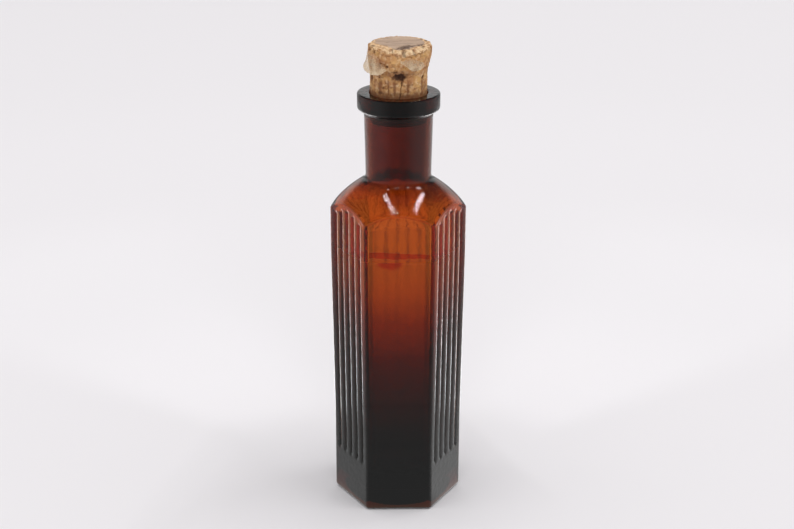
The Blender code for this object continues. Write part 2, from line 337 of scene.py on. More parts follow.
def outer_rows():
    rows = []
    for step in range(9):
        angle = math.pi / 2 * (1 - step / 8)
        rows.append(turned_row(push_up_radius * math.cos(angle), push_up_depth * math.sin(angle)))
    rows.append(turned_row(push_up_radius + push_up_edge, 0))
    for step in range(6):
        angle = math.pi / 2 * (1 - step / 5)
        share = 1 - math.cos(angle)
        corner = corner_rounding * (1 - (1 - foot_corner_share) * share)
        rows.append(panel_row(foot_rounding * (1 - math.sin(angle)), foot_rounding * share, corner))
    # Rows crowd together where the grooves end, near the foot and again under the arches
    heights = [0.003, 0.005, 0.008, 0.011, 0.0126] + [0.0132 + 0.00024 * i for i in range(12)]
    heights += [0.0165, 0.018, 0.020] + [0.022 + 0.0028 * i for i in range(20)]
    rows += [panel_row(height, rib=1, wave=outer_wave) for height in heights]
    crowded_lift = 0.69
    lifts = [i / 9 * crowded_lift for i in range(9)] + [crowded_lift + 0.0150 * i for i in range(19)]
    rows += [panel_row(lift_start_height, lift=lift, rib=1, wave=outer_wave) for lift in lifts]
    for step in range(6):
        t = step / 5
        past, drop = arch_rounding * t * t, arch_rounding * (1 - t) ** 2
        rows.append(dome_row(0, shoulder_top_radius, past=past, drop=drop, wave=outer_wave))
    for i in range(1, 14):
        rows.append(dome_row(i / 14, shoulder_top_radius, past=arch_rounding, wave=outer_wave))
    flare_drop = dome_slope_at(shoulder_top_radius) * (neck_foot_radius - shoulder_top_radius)
    corner_height = shoulder_top_height + flare_drop
    outline = rounded(
        (shoulder_top_radius, shoulder_top_height),
        (neck_foot_radius, corner_height),
        (neck_foot_radius, neck_foot_height),
    )
    under = lip_base_height - lip_underside_rise
    for i in range(1, 8):
        rise = i / 8
        radius = neck_foot_radius + (neck_top_radius - neck_foot_radius) * rise
        outline.append((radius, neck_foot_height + (under - lip_fillet - neck_foot_height) * rise))
    outline += rounded(
        (neck_top_radius, under - lip_fillet),
        (neck_top_radius, under),
        (neck_top_radius + lip_fillet, under),
    )
    edge, base, low, top = lip_radius, lip_base_height, lip_lower_rounding, lip_upper_rounding
    outline += rounded((edge - low, base), (edge, base), (edge, base + low))
    outline += [(edge, base + low + 0.00125 * i) for i in (1, 2)]
    outline += rounded((edge, bottle_height - top), (edge, bottle_height), (edge - top, bottle_height))
    outline += [(edge - top - 0.00087 * i, bottle_height) for i in (1, 2)]
    return rows + [turned_row(radius, height, outer_wave) for radius, height in outline]


def inner_rows():
    outline = rounded(
        (mouth_radius + mouth_rounding, bottle_height),
        (mouth_radius, bottle_height),
        (mouth_radius, bottle_height - mouth_rounding),
    )
    for i in range(1, 8):
        down = i / 8
        bore_height = bottle_height - mouth_rounding
        height = bore_height + (bore_foot_height - bore_height) * down
        outline.append((mouth_radius + (bore_foot_radius - mouth_radius) * down, height))
    flare_radius = bore_foot_radius + bore_flare
    flare_height = dome_height_at(flare_radius, shoulder_wall)
    corner_height = flare_height - dome_slope_at(flare_radius, shoulder_wall) * bore_flare
    outline += rounded(
        (bore_foot_radius, bore_foot_height),
        (bore_foot_radius, corner_height),
        (flare_radius, flare_height),
    )
    rows = [turned_row(radius, height, outer_wave) for radius, height in outline]
    inside = dict(corner=inner_corner_rounding, wall=panel_wall, inset=shoulder_wall, wave=inner_wave)
    wavy_inside = {**inside, "wave": inner_dome_wave}
    for i in range(9, 0, -1):
        rows.append(dome_row(i / 10, flare_radius, past=inner_arch_rounding, **wavy_inside))
    for step in range(5, -1, -1):
        t = step / 5
        past, drop = inner_arch_rounding * t * t, inner_arch_rounding * (1 - t) ** 2
        rows.append(dome_row(0, flare_radius, past=past, drop=drop, **inside))
    rows += [panel_row(lift_start_height, lift=i / 5 * 0.8, **inside) for i in range(5, -1, -1)]
    return rows + wall_rows(0.075)


# Further in than any wall's distance from the axis
to_axis = 0.0200


def wall_rows(top, overlap=0.0):
    """Rows down the inside of the panels, round the floor's edge and in to the axis."""
    rows = []
    low = floor_thickness + floor_rounding
    inside = dict(wall=panel_wall - overlap, inset=shoulder_wall, wave=inner_wave)
    count = max(round((top - low) / 0.0036), 1)
    for i in range(count):
        rows.append(panel_row(top + (low - top) * i / count, corner=inner_corner_rounding, **inside))
    for step in range(7):
        angle = math.pi / 2 * step / 6
        share = 1 - math.cos(angle)
        corner = inner_corner_rounding * (1 - (1 - foot_corner_share) * share)
        height = floor_thickness - overlap + floor_rounding * (1 - math.sin(angle))
        rows.append(panel_row(height, floor_rounding * share, corner, **inside))
    for inwards, corner in ((0.0055, 0.0004), (0.0085, 0.0004), (0.0115, 0.0004), (to_axis, 0)):
        rows.append(panel_row(floor_thickness - overlap, inwards, corner, panel_wall))
    return rows


columns_per_panel = 72
rib_columns, margin_columns = 30, 2
arc_columns = columns_per_panel // 2 - rib_columns - margin_columns


def add_sockets(group, kind, *names, in_out="INPUT"):
    for name in names:
        group.interface.new_socket(name, in_out=in_out, socket_type="NodeSocket" + kind)


skin = bpy.data.node_groups.new("glass_skin", "GeometryNodeTree")
skin_inputs = {
    "Apothem At Shoulder": apothem_at_shoulder,
    "Dome Radius": dome_radius,
    "Dome Centre Radius": dome_centre.x,
    "Dome Centre Height": dome_centre.y,
    "Rib Pitch": rib_pitch,
    "Rib Crest": rib_crest,
    "Groove Depth": groove_depth,
    "Groove Low End": groove_low_height,
    "Groove Top Margin": groove_top_margin,
    "Groove Low Run": groove_low_run,
    "Groove Top Run": groove_top_run,
    "Wave Size": 0.011,
    "Wave Seed": 3.7,
}
add_sockets(skin, "Geometry", "Outline")
add_sockets(skin, "Float", *skin_inputs)
add_sockets(skin, "Material", "Material")
add_sockets(skin, "Geometry", "Skin", in_out="OUTPUT")

given = skin.nodes.new("NodeGroupInput")
size_of = {name: Wire(given.outputs[name]) for name in skin_inputs}


def skin_node(kind, **settings):
    node = skin.nodes.new(kind)
    for key, value in settings.items():
        setattr(node, key, value)
    return node


def cosine(angle):
    return angle.through("COSINE")


def sine(angle):
    return angle.through("SINE")


# Which row and column each point of the grid belongs to
count_node = skin_node("GeometryNodeAttributeDomainSize")
skin.links.new(given.outputs["Outline"], count_node.inputs[0])
row_count = Wire(count_node.outputs["Point Count"])
grid_node = skin_node("GeometryNodeMeshGrid")
grid_node.inputs["Vertices X"].default_value = 6 * columns_per_panel + 1
row_count.into(grid_node.inputs["Vertices Y"])
index = Wire(skin_node("GeometryNodeInputIndex").outputs[0])
column = ((index + 0.5) / row_count).through("FLOOR")
row = index - column * row_count
whole_row = skin_node("FunctionNodeFloatToInt", rounding_mode="ROUND")
row.into(whole_row.inputs[0])

of_row = {}
for key in row_keys:
    named = skin_node("GeometryNodeInputNamedAttribute", data_type="FLOAT")
    named.inputs["Name"].default_value = key
    sample = skin_node("GeometryNodeSampleIndex", data_type="FLOAT", domain="POINT")
    skin.links.new(given.outputs["Outline"], sample.inputs["Geometry"])
    skin.links.new(named.outputs[0], sample.inputs["Value"])
    skin.links.new(whole_row.outputs[0], sample.inputs["Index"])
    of_row[key] = Wire(sample.outputs[0])

# Place of the column across its panel, in shares of the ribs, the margin and the corner's arc
panel = (column / columns_per_panel + 0.0001).through("FLOOR")
local = column - panel * columns_per_panel - columns_per_panel / 2
side = local.through("SIGN")
from_middle = local.size()
rib_share = (from_middle / rib_columns).through("MINIMUM", 1.0)
# The columns crowd together in the narrow bottoms of the grooves, two and a half to each half
crowding, crowding_turn = 0.72, math.radians(2.5 * 360)
rib_share = rib_share - sine(rib_share * crowding_turn) * (crowding / crowding_turn)
margin_share = ((from_middle - rib_columns) / margin_columns).clamped()
arc_angle = ((from_middle - rib_columns - margin_columns) / arc_columns).clamped() * math.radians(30)
panel_angle = panel * math.radians(60) - math.radians(90)


def hexagon_place(apothem, corner):
    """Distance out from the axis along the panel's normal, and distance along the panel."""
    flat = (apothem - corner).through("MAXIMUM", 0.0) * math.tan(math.radians(30))
    ribbed = (size_of["Rib Pitch"] * 2.5).through("MINIMUM", flat * 0.98)
    along = rib_share * ribbed + margin_share * (flat - ribbed) + corner * sine(arc_angle)
    return (apothem - corner) + corner * cosine(arc_angle), along * side


def dome_surface(radius):
    arc = size_of["Dome Radius"] - of_row["inset"]
    across = radius - size_of["Dome Centre Radius"]
    return size_of["Dome Centre Height"] + (arc * arc - across * across).root()


# The panels' edge under the dome, which gives the arch and the direction of every turned row
shoulder_apothem = size_of["Apothem At Shoulder"]
edge_out, edge_along = hexagon_place(shoulder_apothem - of_row["wall"], of_row["corner"])
edge_radius = distance(edge_out, edge_along)
edge_height = dome_surface(edge_radius)
full_out, full_along = hexagon_place(shoulder_apothem, edge_out * 0 + corner_rounding)
direction = panel_angle + full_along.through("ARCTAN2", full_out)
edge_direction = panel_angle + edge_along.through("ARCTAN2", edge_out)

# Rows on the panels, with the grooves between the ribs
out, along = hexagon_place(of_row["apothem"], of_row["corner"])
height = of_row["height"].towards(edge_height, of_row["lift"]) - of_row["drop"]
pitch = size_of["Rib Pitch"]
groove = (along / pitch).through("ROUND").through("MINIMUM", 2.0).through("MAXIMUM", -2.0)
across = (along - groove * pitch).size() / ((pitch - size_of["Rib Crest"]) / 2)
groove_reach = (groove.size() + 0.5) * pitch
shoulder_edge = distance(shoulder_apothem, groove_reach)
groove_top = dome_surface(shoulder_edge) - size_of["Groove Top Margin"]
low_run = (height - size_of["Groove Low End"]) / size_of["Groove Low Run"]
top_run = (groove_top - height) / size_of["Groove Top Run"]
run = low_run.through("MINIMUM", top_run).through("MINIMUM", 1.0)
steepest = 0.98
hollow = (1 - distance(across, 1 - run)).clamped() * steepest
sunk = (1 - (1 - hollow * hollow).root()) / (1 - math.sqrt(1 - steepest**2))
# Panel 0 is the plain one
sunk = sunk * of_row["rib"] * panel.clamped()
out = out - sunk * size_of["Groove Depth"]
panel_x = out * cosine(panel_angle) - along * sine(panel_angle)
panel_y = out * sine(panel_angle) + along * cosine(panel_angle)

# Rows on the dome, and turned rows
dome_run = (edge_radius - of_row["past"]).towards(of_row["flare"], of_row["share"])
dome_up = dome_surface(dome_run) - of_row["drop"]
round_radius = dome_run.towards(of_row["radius"], of_row["turned"])
round_height = dome_up.towards(of_row["height"], of_row["turned"])
round_angle = edge_direction.towards(direction, of_row["turned"].through("MAXIMUM", of_row["share"]))
place_x = panel_x.towards(round_radius * cosine(round_angle), of_row["round"])
place_y = panel_y.towards(round_radius * sine(round_angle), of_row["round"])
place_z = height.towards(round_height, of_row["round"])


def as_vector(x, y, z):
    node = skin_node("ShaderNodeCombineXYZ")
    for place, value in zip(node.inputs, (x, y, z)):
        value.into(place)
    return Wire(node.outputs[0])


def next_node(geometry, kind, **settings):
    """The next node on the geometry's way."""
    node = skin_node(kind, **settings)
    skin.links.new(geometry, node.inputs["Geometry"])
    return node


# Slow waves in the glass, in and out from the axis
wave = skin_node("ShaderNodeTexNoise", noise_dimensions="4D")
as_vector(place_x, place_y, place_z * 0.6).into(wave.inputs["Vector"])
size_of["Wave Seed"].into(wave.inputs["W"])
size_of["Wave Size"].through("POWER", -1.0).into(wave.inputs["Scale"])
wave.inputs["Detail"].default_value = 1.0
swell = (Wire(wave.outputs[0]) - 0.5) * 3.0 * of_row["wave"]
spread = distance(place_x, place_y) + 0.000001

move = next_node(grid_node.outputs["Mesh"], "GeometryNodeSetPosition")
moved = as_vector(place_x + place_x / spread * swell, place_y + place_y / spread * swell, place_z)
moved.into(move.inputs["Position"])
marked = move.outputs[0]
for name, value in (("inside", of_row["inside"]), ("groove", sunk)):
    mark = next_node(marked, "GeometryNodeStoreNamedAttribute", data_type="FLOAT", domain="POINT")
    mark.inputs["Name"].default_value = name
    value.into(mark.inputs["Value"])
    marked = mark.outputs[0]
merge = next_node(marked, "GeometryNodeMergeByDistance")
merge.inputs["Distance"].default_value = 0.000002
soft = next_node(merge.outputs[0], "GeometryNodeSetShadeSmooth")
painted = next_node(soft.outputs[0], "GeometryNodeSetMaterial")
skin.links.new(given.outputs["Material"], painted.inputs["Material"])
skin.links.new(painted.outputs[0], skin_node("NodeGroupOutput").inputs[0])
skin_items = skin.interface.items_tree
skin_sockets = {item.name: item.identifier for item in skin_items if item.in_out == "INPUT"}


def glass_skin(name, rows, material):
    """A closed form whose skin follows the outline's rows round the axis."""
    outline = bpy.data.meshes.new(name + "_outline")
    outline.from_pydata(
        [(row.get("radius") or row["apothem"], 0, row["height"]) for row in rows],
        [(i, i + 1) for i in range(len(rows) - 1)],
        [],
    )
    for key in row_keys:
        values = outline.attributes.new(key, "FLOAT", "POINT")
        values.data.foreach_set("value", [float(row.get(key, 0.0)) for row in rows])
    piece = bpy.data.objects.new(name, outline)
    link(piece)
    modifier = piece.modifiers.new("skin", "NODES")
    modifier.node_group = skin
    for key, value in skin_inputs.items():
        modifier[skin_sockets[key]] = value
    modifier[skin_sockets["Material"]] = material
    seen = piece.evaluated_get(bpy.context.evaluated_depsgraph_get())
    mesh = bpy.data.meshes.new_from_object(seen)
    piece.modifiers.clear()
    piece.data = mesh
    mesh.name = name
    return piece


def blended(share, first, second):
    """A colour between two colours, by a share."""
    mix = share.tree.nodes.new("ShaderNodeMix")
    mix.data_type = "RGBA"
    share.into(mix.inputs["Factor"])
    for place, colour in ((mix.inputs[6], first), (mix.inputs[7], second)):
        if isinstance(colour, Wire):
            colour.into(place)
        else:
            place.default_value = (*colour, 1)
    return Wire(mix.outputs[2])


def layered(colour, *layers):
    """A colour with others laid over it, each by its own share."""
    for share, over in layers:
        colour = blended(share, colour, over)
    return colour


def bumped(shader, height, strength, depth):
    bump = height.tree.nodes.new("ShaderNodeBump")
    set_values(bump, {"Strength": strength, "Distance": depth})
    height.into(bump.inputs["Height"])
    Wire(bump.outputs[0]).into(shader.inputs["Normal"])


def mark_on(tree, name):
    node = tree.nodes.new("ShaderNodeAttribute")
    node.attribute_name = name
    return Wire(node.outputs["Fac"])


# Speckle: noise on object coordinates spread over 0 to 1, which may be stretched along an axis
speckle = bpy.data.node_groups.new("speckle", "ShaderNodeTree")
add_sockets(speckle, "Vector", "Position", "Stretch")
add_sockets(speckle, "Float", "Scale", "Detail", "Spread")
add_sockets(speckle, "Float", "Share", in_out="OUTPUT")
group_in = speckle.nodes.new("NodeGroupInput")
group_out = speckle.nodes.new("NodeGroupOutput")
stretched = speckle.nodes.new("ShaderNodeVectorMath")
stretched.operation = "MULTIPLY"
speckle.links.new(group_in.outputs["Position"], stretched.inputs[0])
speckle.links.new(group_in.outputs["Stretch"], stretched.inputs[1])
field = speckle.nodes.new("ShaderNodeTexNoise")
speckle.links.new(stretched.outputs[0], field.inputs["Vector"])
for name in ("Scale", "Detail"):
    speckle.links.new(group_in.outputs[name], field.inputs[name])
share = (Wire(field.outputs[0]) - 0.5) * Wire(group_in.outputs["Spread"]) + 0.5
share.clamped().into(group_out.inputs["Share"])


def speckled(coordinates, scale, detail=2.0, stretch=(1, 1, 1), spread=1.8):
    tree = coordinates.id_data
    node = tree.nodes.new("ShaderNodeGroup")
    node.node_tree = speckle
    tree.links.new(coordinates.outputs["Object"], node.inputs["Position"])
    set_values(node, {"Stretch": stretch, "Scale": scale, "Detail": detail, "Spread": spread})
    return Wire(node.outputs["Share"])


amber_glass, tree, shader = new_material(
    "amber_glass", {"Metallic": 0.0, "Transmission Weight": 1.0, "IOR": 1.52, "Roughness": 0.02}
)
absorption = tree.nodes.new("ShaderNodeVolumeAbsorption")
set_values(absorption, {"Color": (0.867, 0.51, 0.0, 1), "Density": 600.0})
tree.links.new(absorption.outputs[0], tree.nodes["Material Output"].inputs["Volume"])
coordinates, (x, y, z) = object_axes(tree)
inside, groove = mark_on(tree, "inside"), mark_on(tree, "groove")
neck_share = z.ramped(0.1000, 0.1025)
dome_only = z.eased(0.0920, 0.0950) * (1 - neck_share)

# The neck's glass is thick and clouded, most on the right
left_neck = blended(inside, (0.22, 0.075, 0.035), (0.60, 0.15, 0.060))
right_neck = blended(inside, (0.16, 0.060, 0.030), (0.30, 0.094, 0.041))
clouding = speckled(coordinates, 150, 3.0, spread=3.0) * 0.4
neck_tint = layered(
    left_neck, (x.ramped(-0.0036, 0.0084), right_neck), (clouding, (0.20, 0.06, 0.03))
)
# The dome is darkest at its front and where it meets the neck, and greyer on the right
front_of_dome = (y * -1).ramped(0.0085, 0.0120) * z.ramped(0.0940, 0.0968)
front_of_dome = front_of_dome * (1 - x.size().eased(0.0035, 0.0075) * 0.8)
right_of_dome = x.eased(0.0050, 0.0085) * z.eased(0.0948, 0.0972)
# Painted shade: round forms are darkened where they turn away from the view
weight = tree.nodes.new("ShaderNodeLayerWeight")
edge = Wire(weight.outputs["Facing"]).eased(0.55, 0.95) * (1 - inside) * z.eased(0.0920, 0.0960)
# Old residue films the inside of the side panels, and painted shade darkens the grooves, most in front
film = (1 - y.size().eased(0.0125, 0.0160)) * inside * z.eased(0.050, 0.070)
film = film * (1 - z.eased(0.0885, 0.0930))
groove_shade = groove.eased(0.45, 0.90) * (0.95 - y.eased(0.010, 0.014) * 0.75)
# Dried liquid has left a red band and a run inside the plain panel
at_front = inside * (-0.0095 - y).eased(0.0, 0.001)
ragged = speckled(coordinates, 420) * 0.0008
above_band = (z + ragged * 0.5 + x * 0.04).eased(0.0824, 0.0827)
band = (z + ragged).eased(0.0810, 0.0813) * (1 - above_band)
run_aside = (x + 0.0028).size()
run_edge = run_aside * 0.32 + 0.0774
run = (z + ragged - run_edge).eased(0.0, 0.0005) * (1 - z.eased(0.0794, 0.0797))
run = run * (1 - run_aside.eased(0.0030, 0.0042))
# The foot and the lip are thickest and look almost black
tint = layered(
    (0.856, 0.565, 0.31),
    (z.ramped(0.0975, 0.1010), (0.44, 0.19, 0.10)),
    (front_of_dome * 0.85, (0.36, 0.13, 0.07)),
    (z.eased(0.0976, 0.0992) * 0.7, (0.14, 0.040, 0.020)),
    (right_of_dome * 0.8, (0.16, 0.100, 0.090)),
    (neck_share, neck_tint),
    # painted shade where round forms turn away
    (edge * 0.85, (0.09, 0.045, 0.035)),
    (film * 0.85, (0.48, 0.72, 0.38)),
    # painted shade in the grooves
    (groove_shade, (0.06, 0.028, 0.018)),
    (band * at_front, (0.60, 0.06, 0.002)),
    (run * at_front, (0.52, 0.045, 0.002)),
    (1 - z.eased(0.0110, 0.0190), (0.012, 0.006, 0.006)),
    (z.ramped(0.1190, 0.1210), (0.05, 0.02, 0.01)),
)
tint.into(shader.inputs["Base Color"])
# The lip's underside is rough, so it draws no bright line round the neck
under_lip = z.eased(0.1188, 0.1200) * (1 - z.eased(0.1209, 0.1212))
under_lip = under_lip * (1 - distance(x, y).eased(0.0108, 0.0114))
(inside * 0.09 + 0.015 + under_lip * 0.4).into(shader.inputs["Roughness"])
ripple = speckled(coordinates, 620, spread=1.0) * (1 - dome_only * 0.6)
ripple = ripple + speckled(coordinates, 1500, 1.0) * dome_only * 0.22
bumped(shader, ripple, 0.15, 0.0005)

outside, within = outer_rows(), inner_rows()
for row in within:
    row["inside"] = 1
glass_bottle = glass_skin("glass_bottle", outside + within, amber_glass)
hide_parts("bottle")
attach(glass_bottle, "glass")


# Contents
# Dark brown liquid fills the bottle to just below the shoulder. It clings to the glass in a
# raised rim, lets some red light through near its surface and is almost black lower down.
liquid_level, liquid_rim, liquid_rim_reach, liquid_overlap = 0.0796, 0.0001, 0.0009, 0.00005

brown_liquid, tree, shader = new_material(
    "brown_liquid", {"Metallic": 0.0, "Transmission Weight": 1.0, "IOR": 1.08}
)
coordinates, (x, y, z) = object_axes(tree)
# The liquid's tint by height, in tenths of a metre
depth_tints = tree.nodes.new("ShaderNodeValToRGB")
(z / 0.1).into(depth_tints.inputs[0])
stops = depth_tints.color_ramp.elements
for height, colour in (
    (0.21, (0.014, 0.003, 0.002)),
    (0.34, (0.05, 0.008, 0.004)),
    (0.50, (0.23, 0.07, 0.04)),
    (0.60, (0.66, 0.36, 0.25)),
    (0.70, (0.90, 0.80, 0.62)),
    (0.79, (0.90, 0.82, 0.7)),
):
    stops.new(height).color = (*colour, 1)
for spare in (stops[-1], stops[0]):
    stops.remove(spare)
surface = ((z - 0.0793) * 8000).clamped()
# Painted shade: the liquid is darkened where the side faces are seen, as they pass less light than the
# front and back ones
aside = (1 - y.size().eased(0.0085, 0.0140)) * (1 - z.eased(0.050, 0.0796))
liquid_tint = layered(
    Wire(depth_tints.outputs[0]), (aside * 0.8, (0.02, 0.006, 0.004)), (surface, (1.0, 1.0, 1.0))
)
liquid_tint.into(shader.inputs["Base Color"])
(0.42 - surface * 0.40).into(shader.inputs["Roughness"])


def liquid_rows():
    rows = wall_rows(liquid_level, liquid_overlap)[::-1]
    deepest = panel_wall - liquid_overlap
    near_wall = (0.0, 0.0001, 0.0005, 0.0009, 0.0014, 0.0020, 0.0028, 0.0040, 0.0060, 0.0085, 0.0115)
    for inwards in (*near_wall, to_axis):
        height = liquid_level + liquid_rim * math.exp(-inwards / liquid_rim_reach)
        corner = max(inner_corner_rounding - inwards, 0.0006) if inwards < to_axis else 0
        wave = inner_wave if inwards < 0.001 else 0
        rows.append(panel_row(height, inwards, corner, deepest, wave=wave))
    return rows


liquid = glass_skin("liquid", liquid_rows(), brown_liquid)
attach(liquid, "glass")


# Cork
# A natural cork, once pushed in to its waist and now drawn part of the way out, so its upper half
# swells over the mouth. Its rim is torn and crumbling, its side is pitted with dark pores, and
# a crack runs up the front. A bark-brown crust is left in the middle of its top.
cork_end_height, cork_top_height = 0.1175, 0.1401
cork_end_radius, cork_end_edge_radius = 0.00791, 0.00788
cork_mouth_radius, cork_head_radius = 0.0082, 0.0091
cork_lean, cork_rear_rise = 0.0004, 0.0003
cork_waist_height, cork_swell_height = 0.1312, 0.0060
cork_columns = 256
millimetre = 0.001


def ease(low, high, value):
    share = min(max((value - low) / (high - low), 0.0), 1.0)
    return share * share * (3 - 2 * share)


def cork_radius_at(height):
    if height < bottle_height:
        share = (height - cork_end_height) / (bottle_height - cork_end_height)
        return cork_end_radius + (cork_mouth_radius - cork_end_radius) * share
    swell = ease(cork_waist_height, cork_waist_height + cork_swell_height, height)
    return cork_mouth_radius + (cork_head_radius - cork_mouth_radius) * swell


def on_cork(radius, angle, height):
    """A place round the cork, whose head leans to the right and rises a little at the back."""
    x, y = radius * math.cos(angle), radius * math.sin(angle)
    x += cork_lean * ease(0.1335, cork_top_height, height)
    rise = cork_rear_rise * ease(0.0, cork_head_radius, y) * ease(0.1370, cork_top_height, height)
    return x, y, height + rise


def half_turn(degrees):
    """The same direction between -180 and 180 degrees."""
    return (degrees + 180) % 360 - 180


def along_turn(table, degrees):
    """A value read from (degrees, value) points round the cork."""
    degrees = half_turn(degrees)
    points = [(table[-1][0] - 360, table[-1][1]), *table, (table[0][0] + 360, table[0][1])]
    for (a, low), (b, high) in zip(points, points[1:]):
        if a <= degrees <= b:
            return low + (high - low) * (degrees - a) / (b - a)
    return table[0][1]


def grain_noise(point, scale, octaves=1, seed=0.0):
    place = point * scale + Vector((seed, seed * 1.7, -seed))
    return noise.fractal(place, 1.0, 2.0, octaves) if octaves > 1 else noise.noise(place)


# Pores: degrees round the cork, then height, half width, half height and depth in mm. Those that
# can be seen from the front are placed one by one, and the others at random.
pores = [
    (-89.8, 132.15, 1.85, 1.05, 1.00), (-76.0, 132.75, 1.1, 0.40, 0.35),
    (-64.0, 132.85, 1.1, 0.30, 0.25), (-99.0, 133.55, 1.2, 0.40, 0.40),
    (-84.0, 133.70, 0.7, 0.35, 0.40), (-35.5, 131.40, 0.55, 0.60, 0.70),
    (-163.0, 130.90, 0.70, 1.15, 0.70), (-114.0, 135.10, 0.45, 0.40, 0.40),
    (-123.5, 135.40, 1.8, 0.80, 0.20), (-133.4, 131.90, 0.55, 0.50, 0.30),
    (-132.0, 127.10, 1.0, 0.60, 0.25), (-123.4, 128.75, 0.40, 0.35, 0.35),
    (-85.3, 130.45, 0.42, 0.42, 0.45), (-15.0, 134.90, 0.45, 0.70, 0.35),
    (-12.0, 138.60, 0.35, 1.10, 0.40), (-146.0, 138.70, 0.70, 0.40, 0.35),
    (-108.0, 136.40, 0.35, 0.25, 0.25), (-141.0, 130.20, 0.35, 0.70, 0.25),
    (-50.0, 132.60, 0.6, 0.22, 0.25), (-118.0, 130.40, 0.25, 0.55, 0.20),
]
random.seed(11)
for _ in range(90):
    turn, level = random.uniform(-180, 180), random.uniform(126.6, 139.2)
    if not -150 < turn < -20:
        size = random.uniform(0.15, 0.9)
        pores.append((turn, level, size, random.uniform(0.15, 0.35) + 0.25 * size, 0.15 + 0.45 * size))
    elif random.random() < 0.5:
        size = random.uniform(0.10, 0.32)
        pores.append((turn, level, size, size * random.uniform(0.6, 1.1), 0.18))

# By degrees round the cork, in mm: lower edge of the torn rim, and reach of the crust on the top
torn_edge = [
    (-180, 139.9), (-160, 139.6), (-128, 139.7), (-116, 139.0), (-104, 138.5), (-94, 137.8),
    (-79, 138.0), (-66, 138.6), (-44, 138.9), (-24, 139.7), (10, 139.8), (50, 139.2),
    (90, 139.7), (130, 139.3),
]
crust_edge = [
    (-170, 6.3), (-150, 5.4), (-135, 5.2), (-120, 6.2), (-106, 7.6), (-92, 8.9), (-78, 8.1),
    (-62, 6.8), (-48, 6.1), (-25, 6.2), (3, 6.8), (60, 8.2), (110, 8.6), (155, 8.3),
]
# Cracks on the top: both ends and half width in mm. The crack up the side: degrees and height.
top_cracks = (
    ((0.2, -7.2), (1.8, -3.8), 2.10), ((1.6, -4.4), (6.6, -1.0), 0.80), ((-4.4, 0.8), (0.5, 3.0), 0.16)
)
side_crack = ((-84.9, 130.3), (-87.5, 128.4), (-86.8, 127.4), (-89.9, 125.8))
# Stained streaks that rise from the mouth: degrees and half width in mm
cork_stains = [(-99.7, 0.5), (-72.7, 0.45), (-37.6, 0.5), (-131, 0.8), (-112, 0.3)]
cork_stains += [(150, 0.6), (40, 0.7), (95, 0.4)]


def segment_distance(px, py, ax, ay, bx, by):
    dx, dy = bx - ax, by - ay
    share = min(max(((px - ax) * dx + (py - ay) * dy) / (dx * dx + dy * dy), 0.0), 1.0)
    return math.hypot(px - ax - dx * share, py - ay - dy * share)


def crumbling(point, torn):
    """The crumbs of torn cork at a point, and the painted shade in the hollows between them."""
    crumbs = grain_noise(point, 0.55, 4, seed=20) + 0.12 * grain_noise(point, 2.3, 2, seed=23)
    return crumbs, torn * (1 - ease(-0.50, -0.15, crumbs)) * 0.7


def cork_side(turn, radius, height):
    """How far a point of the cork's side stands out, how far it drops, and its marks, in mm."""
    angle = math.radians(turn)
    point = Vector((radius * math.cos(angle), radius * math.sin(angle), height)) / millimetre
    level, reach = height / millimetre, radius / millimetre
    lumps = grain_noise(point, 0.33) * 0.14 + grain_noise(point, 1.0, seed=3) * 0.08
    lumps += grain_noise(point, 2.6, seed=5) * 0.05
    fibres = grain_noise(Vector((point.x, point.y, point.z * 0.16)), 1.5, seed=8) * 0.06
    ragged = grain_noise(point, 1.3, 3, seed=12)
    arc = math.radians(1) * reach
    pit = halo = 0.0
    for centre, middle, wide, tall, depth in pores:
        turn_gap = half_turn(turn - centre)
        if abs(turn_gap) * arc < 2 * wide + 0.4 and abs(level - middle) < 2 * tall + 0.4:
            gap = math.hypot(turn_gap * arc / wide, (level - middle) / tall) + 0.38 * ragged
            rim = 1.35 if wide > 1.5 else 1.15
            pit = max(pit, (1 - ease(0.30, rim, gap)) * depth)
            halo = max(halo, (1 - ease(0.8, 2.0, gap + 0.3 * ragged)) * min(depth * 1.2, 0.9))
    for (ta, za), (tb, zb) in zip(side_crack, side_crack[1:]):
        gap = segment_distance(turn * arc, level, ta * arc, za, tb * arc, zb) + 0.06 * ragged
        pit = max(pit, 0.40 * (1 - ease(0.06, 0.24, gap)))
    border = along_turn(torn_edge, turn) + 0.45 * ragged + 0.7 * grain_noise(point, 0.6, seed=14)
    torn = ease(-0.10, 0.12, level - border)
    ledge = math.exp(-(((level - border + 0.20) / 0.18) ** 2)) * ease(137.0, 137.6, level)
    ledge *= ease(-0.35, 0.25, grain_noise(point, 0.5, seed=17))
    crumbs, gap_shade = crumbling(point, torn)
    outward = (lumps + fibres - pit - 0.28 * ledge) * (1 - torn)
    outward += torn * (0.45 * crumbs - 0.05 - 0.40 * ease(138.8, 140.1, level))
    # Painted shadow: a dark band round the waist, strongest on the left under the torn scrap, shares
    # the stain mark with the pores' halos
    waist = math.exp(-(((level - 132.9 - 0.6 * ragged) / 1.1) ** 2))
    stain_and_shade = max(halo, 0.75 * waist * (1 - 0.6 * ease(-80.0, -50.0, turn)))
    for centre, wide in cork_stains:
        gap = abs(half_turn(turn - centre)) * arc / wide + 0.5 * ragged
        stain_and_shade = max(stain_and_shade, (1 - ease(0.3, 1.3, gap)) * (1 - ease(130.0, 132.0, level)))
    # The cork is darker low down, at and in the mouth, and painted shadow darkens the line under the
    # torn rim's ledge
    stain_and_shade = max(stain_and_shade, 1 - ease(126.3, 128.4, level + 0.9 * ragged), 0.7 * ledge)
    # Below its swell the cork keeps clear of the bore when it is pushed in
    outward = min(outward, 0.09 + 2.0 * ease(130.6, 132.6, level))
    drop = torn * (0.10 + 0.25 * crumbs) * ease(139.0, 140.1, level)
    return outward, drop, (max(pit / 0.6, gap_shade), torn, 0.0, stain_and_shade)


